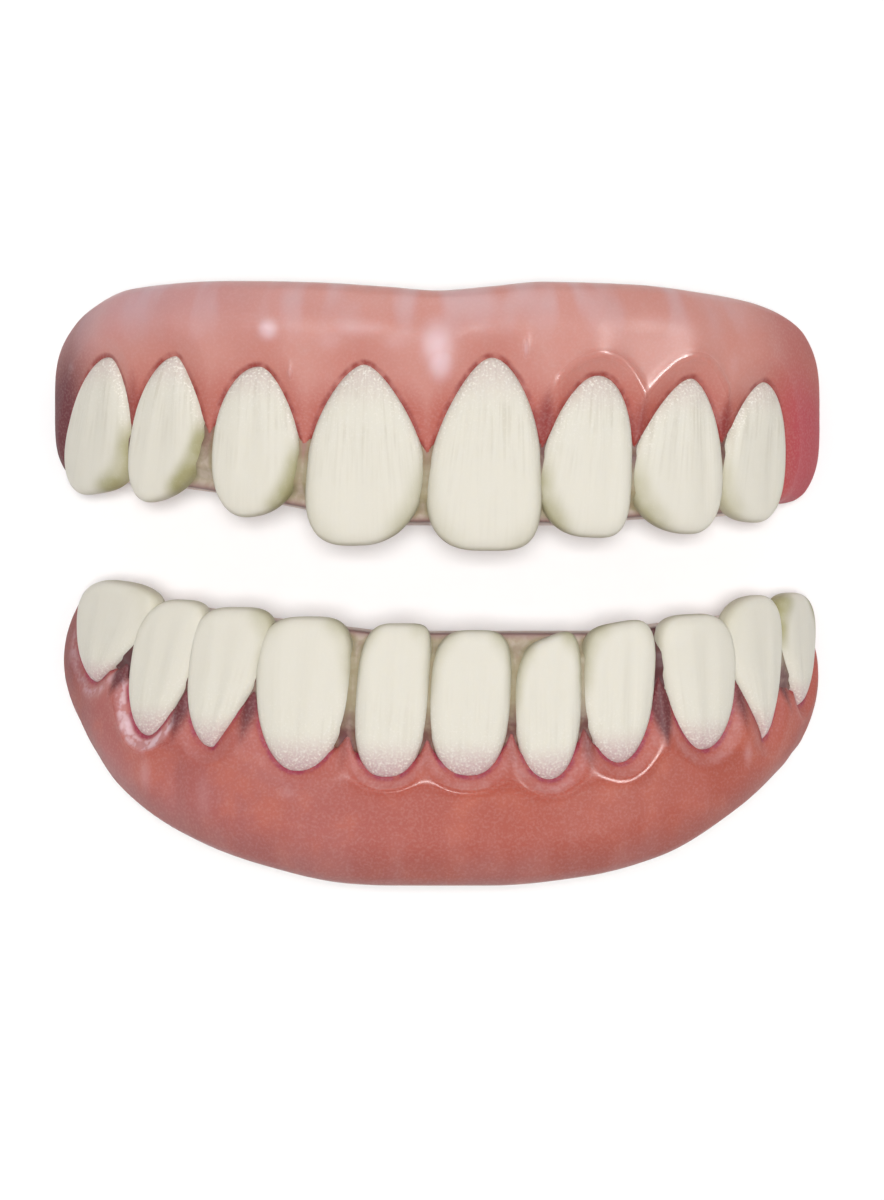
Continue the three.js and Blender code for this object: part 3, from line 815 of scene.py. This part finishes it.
# %% What the gum's tints are placed by
gum_finish, gum_shader = new_finish("heat_cured_pink_acrylic")
BLOTCH_MM, GRAIN_MM, PEEL_MM = 3.5, 0.2, 0.8
BAND_MM, BAND_LENGTH_MM = 2.8, 9.0
# The flow's third number tells the plates apart, and this gives each plate bands of its own
PLATES_APART = 9.0

gum_readings = {
    name: add_node(gum_finish, "ShaderNodeAttribute", {}, attribute_name=name).outputs["Fac"]
    for name in ("margin_mm", "rim_mm", "tips_mm", "pale", "painted_highlight", "crevice_shade", "roughness", "is_upper", "end")
}
place = add_node(gum_finish, "ShaderNodeTexCoord", {}).outputs["Object"]
for name, size_mm, detail in (("blotch", BLOTCH_MM, 3.0), ("grain", GRAIN_MM, 1.0), ("peel", PEEL_MM, 2.0)):
    pattern = {"Vector": place, "Scale": per_metre(size_mm), "Detail": detail}
    gum_readings[name] = add_node(gum_finish, "ShaderNodeTexNoise", pattern).outputs["Fac"]
flow = add_node(gum_finish, "ShaderNodeAttribute", {}, attribute_name="flow_mm").outputs["Vector"]
upright = {"Vector": flow, "Scale": (1 / BAND_MM, 1 / BAND_LENGTH_MM, PLATES_APART)}
bands = add_node(gum_finish, "ShaderNodeMapping", upright).outputs["Vector"]
gum_readings["bands"] = add_node(
    gum_finish, "ShaderNodeTexNoise", {"Vector": bands, "Scale": 1.0, "Detail": 1.0}
).outputs["Fac"]
print("gum tints read", ", ".join(gum_readings))

# %% Gum tints
# Each layer: its tint, then its masks as the reading, a low and a high value of it, and the share that
# shows at each
GUM_GROUND = "#C4867B"
GUM_LAYERS = (
    # The lower plate is redder, and darker as painted shade of a plate that faces away from the light above
    ("#A65A54", ("is_upper", 0, 1, 1, 0)),
    ("#A84A34", ("end", -0.45, 0.2, 0, 0.75), ("is_upper", 0, 1, 1, 0)),
    ("#BE6650", ("blotch", 0.45, 0.7, 0, 0.5), ("is_upper", 0, 1, 1, 0.25)),
    # Lilac bands and mauve near the upper rim: partly a lilac tint, partly painted sheen of light from above
    # the rim
    (
        "#C8A2A3", ("rim_mm", 0.5, 5.2, 0.75, 0), ("bands", 0.42, 0.64, 0.05, 1), ("is_upper", 0, 1, 0.2, 1),
        ("end", 0.4, 0.7, 1, 0),
    ),
    (
        "#BA98A4", ("rim_mm", 0.5, 6.5, 0.46, 0), ("end", -0.75, -0.05, 1, 0), ("end", -0.92, -0.7, 0.2, 1),
        ("is_upper", 0, 1, 0.2, 1),
    ),
    # Painted shade: the lower plate's rim, which faces away from the light, is darker still
    ("#8E5A56", ("rim_mm", 0, 4.0, 0.6, 0), ("is_upper", 0, 1, 1, 0.1)),
    ("#AC5243", ("margin_mm", 0.2, 2.8, 0.9, 0), ("tips_mm", 3.5, 7.0, 1, 0.25), ("end", -0.7, 0.0, 0.6, 1)),
    # Pale rolls round some teeth: partly a pale tint, partly painted sheen and glints on the rolled margins
    ("#CFA6AA", ("pale", 0.1, 1, 0, 0.8), ("peel", 0.40, 0.60, 0.45, 1)),
    ("#DCC4CA", ("pale", 0.5, 1, 0, 0.5), ("peel", 0.42, 0.58, 0, 1)),
    # Pale patches of painted highlight on the mounds
    ("#E0C4CA", ("painted_highlight", 0.1, 1, 0, 0.75)),
    # The ends are stained maroon and red, and made darker as painted shade where the gum turns away from the
    # light
    ("#AC5044", ("end", 0.55, 0.75, 0, 0.85), ("is_upper", 0, 1, 0.2, 1)),
    ("#5E1A26", ("end", -0.64, -0.82, 0, 0.95), ("rim_mm", 0.5, 6.0, 0.35, 1), ("is_upper", 0, 1, 0.45, 1)),
    ("#B03844", ("end", 0.62, 0.78, 0, 0.95), ("rim_mm", 3.0, 8.0, 0.1, 1), ("is_upper", 0, 1, 0.2, 1)),
    # Painted shade in the narrow gaps, redder on the upper plate
    ("#842420", ("crevice_shade", 0.1, 0.8, 0, 0.92), ("is_upper", 0, 1, 0, 1)),
    ("#5C1820", ("crevice_shade", 0.1, 0.8, 0, 0.95), ("is_upper", 0, 1, 1, 0)),
    (
        "#942A44", ("margin_mm", 0.08, 0.38, 0.95, 0), ("peel", 0.35, 0.6, 0.3, 1), ("is_upper", 0, 1, 1, 0),
        ("crevice_shade", 0.2, 0.8, 1, 0.15),
    ),
    ("#8C3028", ("margin_mm", 0.08, 0.42, 0.9, 0), ("peel", 0.35, 0.6, 0.35, 1), ("is_upper", 0, 1, 0, 1)),
    ("#D2ABA6", ("grain", 0.4, 0.75, 0, 0.12)),
)
colour = painted(gum_finish, linear(GUM_GROUND), gum_readings, GUM_LAYERS)
gum_finish.node_tree.links.new(colour, gum_shader.inputs["Base Color"])
print("gum has", len(GUM_LAYERS), "layers of tint")

# %% Gum surface
PEEL_STRENGTH, PEEL_DEPTH_MM = 0.25, 0.02
ripple = {"Height": gum_readings["peel"], "Strength": PEEL_STRENGTH, "Distance": PEEL_DEPTH_MM * MM}
ripple = add_node(gum_finish, "ShaderNodeBump", ripple).outputs["Normal"]
gum_finish.node_tree.links.new(ripple, gum_shader.inputs["Normal"])
gum_finish.node_tree.links.new(gum_readings["roughness"], gum_shader.inputs["Roughness"])
gum_shader.inputs["IOR"].default_value = ACRYLIC_IOR
gum_shader.inputs["Subsurface Weight"].default_value = 0.2
gum_shader.inputs["Subsurface Radius"].default_value = (1.0, 0.35, 0.25)
gum_shader.inputs["Subsurface Scale"].default_value = 0.9 * MM
print(gum_finish.name, "has", len(gum_finish.node_tree.nodes), "nodes")

# %% [markdown]
# ## Tooth acrylic
# Ivory acrylic pressed in a mould: fine upright lines from the mould run from neck to edge, some flanks and
# corners are stained a greenish yellow, and a pink blush from the gum shows at the neck, where the surface is
# crumbly; its light crumbs there and its white dots by the edges are partly painted glints. The lines follow
# each tooth, however it leans, so they read the helper numbers that we hung on the crown and not the scene's
# axes.

# %% What the tooth's tints are placed by
tooth_finish, tooth_shader = new_finish("pressed_ivory_acrylic")
LINE_MM, LINE_LENGTH_MM = 0.28, 6.0
CLOUD_MM, CRUMB_MM = 2.5, 0.17
# The grain's third number is the tooth's own, and this gives each tooth lines of its own
TEETH_APART = 5.0

tooth_readings = {
    name: add_node(tooth_finish, "ShaderNodeAttribute", {}, attribute_name=name).outputs["Fac"]
    for name in ("rise", "edge", "stain", "blush")
}
place = add_node(tooth_finish, "ShaderNodeTexCoord", {}).outputs["Object"]
for name, size_mm, detail in (("cloud", CLOUD_MM, 2.0), ("crumb", CRUMB_MM, 1.0)):
    pattern = {"Vector": place, "Scale": per_metre(size_mm), "Detail": detail}
    tooth_readings[name] = add_node(tooth_finish, "ShaderNodeTexNoise", pattern).outputs["Fac"]
grain_mm = add_node(tooth_finish, "ShaderNodeAttribute", {}, attribute_name="grain_mm").outputs["Vector"]
upright = {"Vector": grain_mm, "Scale": (1 / LINE_MM, 1 / LINE_LENGTH_MM, TEETH_APART)}
lines = add_node(tooth_finish, "ShaderNodeMapping", upright).outputs["Vector"]
tooth_readings["lines"] = add_node(
    tooth_finish, "ShaderNodeTexNoise", {"Vector": lines, "Scale": 1.0, "Detail": 2.0}
).outputs["Fac"]
print("tooth tints read", ", ".join(tooth_readings))

# %% Tooth tints
IVORY = "#D8D3C6"
# The lower teeth, which blush more, are also worn smoother, so the blush tells how worn a tooth is
WORN_FROM, WORN_TO = UPPER["blush"], LOWER["blush"]
WORN = ("blush", WORN_FROM, WORN_TO, 1, 0.4)
TOOTH_LAYERS = (
    (
        "#B5AC98", ("lines", 0.42, 0.7, 0, 0.34), ("rise", -0.5, 0.5, 0.2, 1),
        ("cloud", 0.38, 0.58, 0.25, 1), WORN,
    ),
    ("#B5AE90", ("edge", 0.94, 1.0, 0, 0.3), ("rise", -0.9, 0.6, 1, 0.5)),
    ("#C0A0A2", ("rise", 0.45, 0.95, 0, 1), ("blush", 0, 1, 0, 1), ("crumb", 0.35, 0.6, 1, 0.6)),
    ("#8C8548", ("stain", 0, 1.0, 0, 0.85), ("cloud", 0.3, 0.6, 0.7, 1)),
    # Light crumbs at the neck and white dots by the edges: partly crumbly acrylic, partly painted glints
    ("#EDE8E2", ("crumb", 0.55, 0.75, 0, 0.35), ("rise", -0.2, 0.9, 0.15, 1)),
    (
        "#F4F0E8", ("crumb", 0.55, 0.70, 0, 0.55), ("edge", 0.72, 0.95, 0, 1), ("rise", -0.2, 0.4, 0, 1),
        WORN,
    ),
)
colour = painted(tooth_finish, linear(IVORY), tooth_readings, TOOTH_LAYERS)
tooth_finish.node_tree.links.new(colour, tooth_shader.inputs["Base Color"])
print("teeth have", len(TOOTH_LAYERS), "layers of tint")

# %% Tooth surface
# Each relief: its pattern, the rise at which it starts and is full, what a worn tooth keeps, and its depth
RELIEF_STRENGTH = 0.7
RELIEFS = (("lines", -0.3, 0.6, 0.4, 0.05), ("crumb", 0.3, 0.9, 1.0, 0.05))
surface = {}
for name, low, high, kept_when_worn, depth_mm in RELIEFS:
    near_neck = {"Value": tooth_readings["rise"], "From Min": low, "From Max": high}
    worn = dict(zip(RANGE_ENDS, (WORN_FROM, WORN_TO, 1, kept_when_worn)), Value=tooth_readings["blush"])
    relief = tooth_readings[name]
    for share in (near_neck, worn):
        share = add_node(tooth_finish, "ShaderNodeMapRange", share).outputs["Result"]
        relief = add_node(tooth_finish, "ShaderNodeMath", {0: relief, 1: share}, operation="MULTIPLY")
        relief = relief.outputs["Value"]
    ripple = {"Height": relief, "Strength": RELIEF_STRENGTH, "Distance": depth_mm * MM, **surface}
    surface = {"Normal": add_node(tooth_finish, "ShaderNodeBump", ripple).outputs["Normal"]}
tooth_finish.node_tree.links.new(surface["Normal"], tooth_shader.inputs["Normal"])
tooth_shader.inputs["Roughness"].default_value = 0.55
tooth_shader.inputs["IOR"].default_value = ACRYLIC_IOR
tooth_shader.inputs["Subsurface Weight"].default_value = 0.25
tooth_shader.inputs["Subsurface Radius"].default_value = (1.0, 0.9, 0.7)
tooth_shader.inputs["Subsurface Scale"].default_value = 0.6 * MM
print(tooth_finish.name, "has", len(tooth_finish.node_tree.nodes), "nodes")

# %% [markdown]
# ## Tray acrylic
# The tray is a paler, cloudier acrylic, cast thin and left less polished. Between the crowns it has picked up
# the same greenish stain, close to the gum some pink has bled into it, and some gaps were filled with ivory;
# the deepest gaps are dark maroon, which is painted shade. Behind, where none of this reaches, it keeps its
# own pale colour.

# %% Tray tints
tray_finish, tray_shader = new_finish("cast_pale_acrylic")
HAZE_MM = 0.7
WEB_GROUND = "#BAA698"
WEB_LAYERS = (
    ("#9C9472", ("haze", 0.35, 0.6, 0.2, 0.7), ("ivory", 0.3, 1, 1, 0.2)),
    ("#CFC9BB", ("ivory", 0.3, 1, 0, 0.95)),
    ("#A57F78", ("haze", 0.4, 0.7, 0, 0.5), ("ivory", 0, 1, 1, 0.3)),
    ("#9A6660", ("past_tips_mm", -1.5, 0.2, 0, 0.9), ("ivory", 0, 1, 1, 0.4)),
    ("#857C52", ("gap_mm", 0.05, 0.4, 0.58, 0), ("ivory", 0.3, 1, 1, 0.5)),
    ("#8A6468", ("fold_mm", 0.1, 0.8, 0.8, 0), ("ivory", 0.5, 1, 1, 0.3)),
    # Painted shade: the web is dark maroon close to the gum's tips in shaded gaps, and all over in the
    # darkest
    (
        "#5E2C30", ("past_tips_mm", -3.0, -0.6, 0, 1), ("shade", 0.1, 0.35, 0, 0.85),
        ("haze", 0.35, 0.6, 0.6, 1),
    ),
    ("#521F24", ("shade", 0.9, 1.3, 0, 0.9)),
    ("#D8C2B6", ("web", 0.2, 0.9, 1, 0)),
    ("#BF9C92", ("haze", 0.4, 0.7, 0, 0.45), ("web", 0.2, 0.9, 1, 0)),
)
tray_readings = {
    name: add_node(tray_finish, "ShaderNodeAttribute", {}, attribute_name=name).outputs["Fac"]
    for name in ("gap_mm", "past_tips_mm", "ivory", "shade", "fold_mm", "web")
}
place = add_node(tray_finish, "ShaderNodeTexCoord", {}).outputs["Object"]
haze = {"Vector": place, "Scale": per_metre(HAZE_MM), "Detail": 3.0}
tray_readings["haze"] = add_node(tray_finish, "ShaderNodeTexNoise", haze).outputs["Fac"]
colour = painted(tray_finish, linear(WEB_GROUND), tray_readings, WEB_LAYERS)
tray_finish.node_tree.links.new(colour, tray_shader.inputs["Base Color"])
print("trays have", len(WEB_LAYERS), "layers of tint")

# %% Tray surface
HAZE_STRENGTH, HAZE_DEPTH_MM = 0.5, 0.05
ripple = {"Height": tray_readings["haze"], "Strength": HAZE_STRENGTH, "Distance": HAZE_DEPTH_MM * MM}
ripple = add_node(tray_finish, "ShaderNodeBump", ripple).outputs["Normal"]
tray_finish.node_tree.links.new(ripple, tray_shader.inputs["Normal"])
tray_shader.inputs["Roughness"].default_value = 0.45
tray_shader.inputs["IOR"].default_value = ACRYLIC_IOR
tray_shader.inputs["Subsurface Weight"].default_value = 0.3
tray_shader.inputs["Subsurface Radius"].default_value = (1.0, 0.8, 0.7)
tray_shader.inputs["Subsurface Scale"].default_value = 0.8 * MM
print(tray_finish.name, "has", len(tray_finish.node_tree.nodes), "nodes")

# %% Put the finishes on
finishes = {"gum_acrylic": gum_finish, "tooth_acrylic": tooth_finish, "tray_acrylic": tray_finish}
for slot, pieces in made.items():
    for piece in pieces:
        piece.data.materials.append(finishes[slot])
    print(len(pieces), "pieces in", finishes[slot].name)

# %% [markdown]
# ## Table, light and camera
# The plates lie on a plain white table under soft studio light: a pale room all round, a wide soft box above
# the upper plate for the sheen on its rim, and three lamps that draw bright lines along the rolled margins.
# The soft box at the lens is cross-polarised, as in dental photography, so it adds light but no glints.
# The camera looks straight down through a long lens, which is why nothing leans away from the middle.

# %% Table
TABLE_SIZE = 3.0
sheet = bmesh.new()
bmesh.ops.create_grid(sheet, x_segments=1, y_segments=1, size=TABLE_SIZE / 2)
table_mesh = bpy.data.meshes.new("white_table")
sheet.to_mesh(table_mesh)
sheet.free()
table = bpy.data.objects.new("white_table", table_mesh)
bpy.context.collection.objects.link(table)
table_finish, table_shader = new_finish("matt_white_card")
table_shader.inputs["Base Color"].default_value = linear("#F7F7F7")
table_shader.inputs["Roughness"].default_value = 0.9
table_mesh.materials.append(table_finish)
print("table is", TABLE_SIZE, "m wide")

# %% Light
AIM = (0, 0, 0.01)


def soft_box(name, place, width, depth, watts):
    """A rectangular lamp that shines at the plates; sizes and places are in metres."""
    lamp = bpy.data.lights.new(name, "AREA")
    lamp.shape, lamp.size, lamp.size_y, lamp.energy = "RECTANGLE", width, depth, watts
    box = bpy.data.objects.new(name, lamp)
    bpy.context.collection.objects.link(box)
    box.location = place
    box.rotation_euler = (Vector(AIM) - Vector(place)).to_track_quat("-Z", "Y").to_euler()
    return box


room = bpy.data.worlds.new("pale_room")
room.use_nodes = True
room.node_tree.nodes["Background"].inputs["Color"].default_value = (1.0, 1.0, 1.0, 1.0)
room.node_tree.nodes["Background"].inputs["Strength"].default_value = 0.36
bpy.context.scene.world = room
lens_box = soft_box("lens_soft_box", (0.0, 0.0, 1.20), 0.16, 0.16, 11.5)
lens_box.visible_glossy = False
GLINT_DEPTH = 0.12
for side, place, width, watts in (
    ("left", (-0.62, 0.20, 1.05), 0.12, 3.0),
    ("middle", (-0.03, 0.12, 1.20), 0.12, 2.2),
    ("right", (0.80, 0.20, 0.95), 0.50, 7.0),
):
    glint_lamp = soft_box(f"{side}_glint_lamp", place, width, GLINT_DEPTH, watts)
    glint_lamp.visible_diffuse = False
rim_box = soft_box("rim_soft_box", (0.0, 0.90, 0.60), 1.00, 0.50, 3.5)
rim_box.visible_diffuse = False
bpy.context.scene.view_settings.view_transform = "Standard"
print("room, two soft boxes and three lamps are lit")

# %% Camera
PHOTO_HEIGHT_PX, FOCAL_PX = 1200, 5369
EYE_X, EYE_Y, EYE_HEIGHT = 0.37, -1.37, 420.5
SENSOR_MM = 36
camera_data = bpy.data.cameras.new("camera")
camera_data.sensor_width = SENSOR_MM
camera_data.lens = FOCAL_PX / PHOTO_HEIGHT_PX * SENSOR_MM
camera = bpy.data.objects.new("camera", camera_data)
bpy.context.collection.objects.link(camera)
camera.location = (EYE_X * MM, EYE_Y * MM, EYE_HEIGHT * MM)
bpy.context.scene.camera = camera
print(f"lens {camera_data.lens:.0f} mm, {EYE_HEIGHT:.0f} mm above the table")
